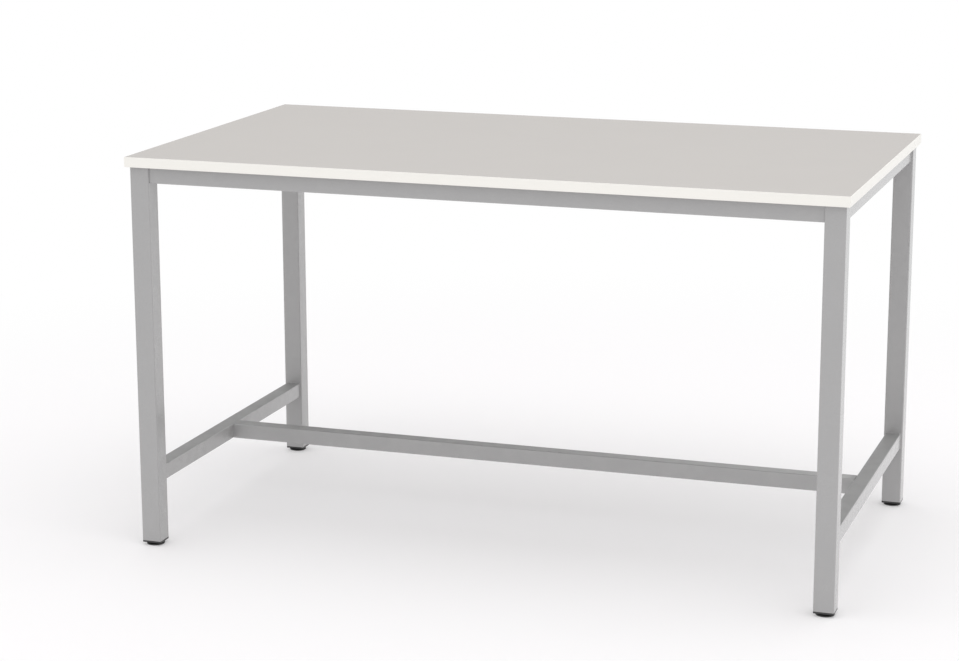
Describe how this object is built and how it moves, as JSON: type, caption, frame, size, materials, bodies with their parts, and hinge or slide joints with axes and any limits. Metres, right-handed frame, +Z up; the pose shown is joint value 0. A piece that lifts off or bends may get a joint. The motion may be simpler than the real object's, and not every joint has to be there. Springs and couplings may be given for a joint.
{
  "type": "standing meeting table",
  "caption": "Standing-height meeting table with a laminated rectangular top, a square-tube steel frame, an H-shaped foot rail and screw-adjusted levelling feet.",
  "frame": {"origin": "on the floor, under the middle of the worktop", "axes": "+X along the worktop's length, +Y from the front to the back, +Z up"},
  "size_m": [1.8, 1, 1],
  "materials": {
    "board_core": "raw particle board",
    "top_laminate": "light grey melamine, fine satin",
    "balance_laminate": "light grey melamine backing sheet",
    "edge_band": "white satin edge band",
    "frame_coating": "silver-grey powder coating, fine texture",
    "plated_steel": "zinc plated",
    "screw_steel": "zinc plated",
    "insert_plastic": "black moulded nylon",
    "bush_steel": "turned steel",
    "stud_steel": "zinc plated thread",
    "foot_plastic": "black moulded nylon",
    "sole_rubber": "matt rubber"
  },
  "bodies": {
    "table": {"worktop_core": "board_core", "worktop_top_laminate": "top_laminate", "worktop_bottom_laminate": "balance_laminate", "edge_band_front": "edge_band", "edge_band_back": "edge_band", "edge_band_left": "edge_band", "edge_band_right": "edge_band", "leg_front_left": "frame_coating", "leg_front_right": "frame_coating", "leg_back_left": "frame_coating", "leg_back_right": "frame_coating", "top_rail_front": "frame_coating", "top_rail_back": "frame_coating", "top_rail_left": "frame_coating", "top_rail_right": "frame_coating", "lower_rail_left": "frame_coating", "lower_rail_right": "frame_coating", "foot_rail": "frame_coating", "foot_rail_spigot_left": "frame_coating", "foot_rail_spigot_right": "frame_coating", "centre_beam": "frame_coating", "beam_brackets": "plated_steel", "corner_bracket_front_left": "plated_steel", "corner_bracket_front_right": "plated_steel", "corner_bracket_back_left": "plated_steel", "corner_bracket_back_right": "plated_steel", "worktop_cleats": "plated_steel", "rivet_nuts": "plated_steel", "corner_screws": "screw_steel", "beam_screws": "screw_steel", "foot_rail_screws": "screw_steel", "cleat_screws": "screw_steel", "worktop_screws": "screw_steel", "leg_insert_front_left": "insert_plastic", "leg_insert_front_right": "insert_plastic", "leg_insert_back_left": "insert_plastic", "leg_insert_back_right": "insert_plastic", "foot_bushes": "bush_steel"},
    "foot_front_left": {"foot_base_front_left": "foot_plastic", "foot_sole_front_left": "sole_rubber"},
    "stud_front_left": {"foot_stud_front_left": "stud_steel"},
    "foot_front_right": {"foot_base_front_right": "foot_plastic", "foot_sole_front_right": "sole_rubber"},
    "stud_front_right": {"foot_stud_front_right": "stud_steel"},
    "foot_back_left": {"foot_base_back_left": "foot_plastic", "foot_sole_back_left": "sole_rubber"},
    "stud_back_left": {"foot_stud_back_left": "stud_steel"},
    "foot_back_right": {"foot_base_back_right": "foot_plastic", "foot_sole_back_right": "sole_rubber"},
    "stud_back_right": {"foot_stud_back_right": "stud_steel"}
  },
  "joints": [
    {"name": "foot_front_left_height", "type": "slide", "parent": "table", "child": "foot_front_left", "axis": [0, 0, -1], "range_m": [0, 0.015]},
    {"name": "stud_front_left_turn", "type": "hinge", "parent": "foot_front_left", "child": "stud_front_left", "pos_m": [-0.865, -0.465, 0.01], "axis": [0, 0, -1], "range_deg": [0, 3600]},
    {"name": "foot_front_right_height", "type": "slide", "parent": "table", "child": "foot_front_right", "axis": [0, 0, -1], "range_m": [0, 0.015]},
    {"name": "stud_front_right_turn", "type": "hinge", "parent": "foot_front_right", "child": "stud_front_right", "pos_m": [0.865, -0.465, 0.01], "axis": [0, 0, -1], "range_deg": [0, 3600]},
    {"name": "foot_back_left_height", "type": "slide", "parent": "table", "child": "foot_back_left", "axis": [0, 0, -1], "range_m": [0, 0.015]},
    {"name": "stud_back_left_turn", "type": "hinge", "parent": "foot_back_left", "child": "stud_back_left", "pos_m": [-0.865, 0.465, 0.01], "axis": [0, 0, -1], "range_deg": [0, 3600]},
    {"name": "foot_back_right_height", "type": "slide", "parent": "table", "child": "foot_back_right", "axis": [0, 0, -1], "range_m": [0, 0.015]},
    {"name": "stud_back_right_turn", "type": "hinge", "parent": "foot_back_right", "child": "stud_back_right", "pos_m": [0.865, 0.465, 0.01], "axis": [0, 0, -1], "range_deg": [0, 3600]}
  ],
  "couplings": [
    {"joint": "stud_front_left_turn", "follows": "foot_front_left_height", "rad_per_m": 4188.8},
    {"joint": "stud_front_right_turn", "follows": "foot_front_right_height", "rad_per_m": 4188.8},
    {"joint": "stud_back_left_turn", "follows": "foot_back_left_height", "rad_per_m": 4188.8},
    {"joint": "stud_back_right_turn", "follows": "foot_back_right_height", "rad_per_m": 4188.8}
  ]
}
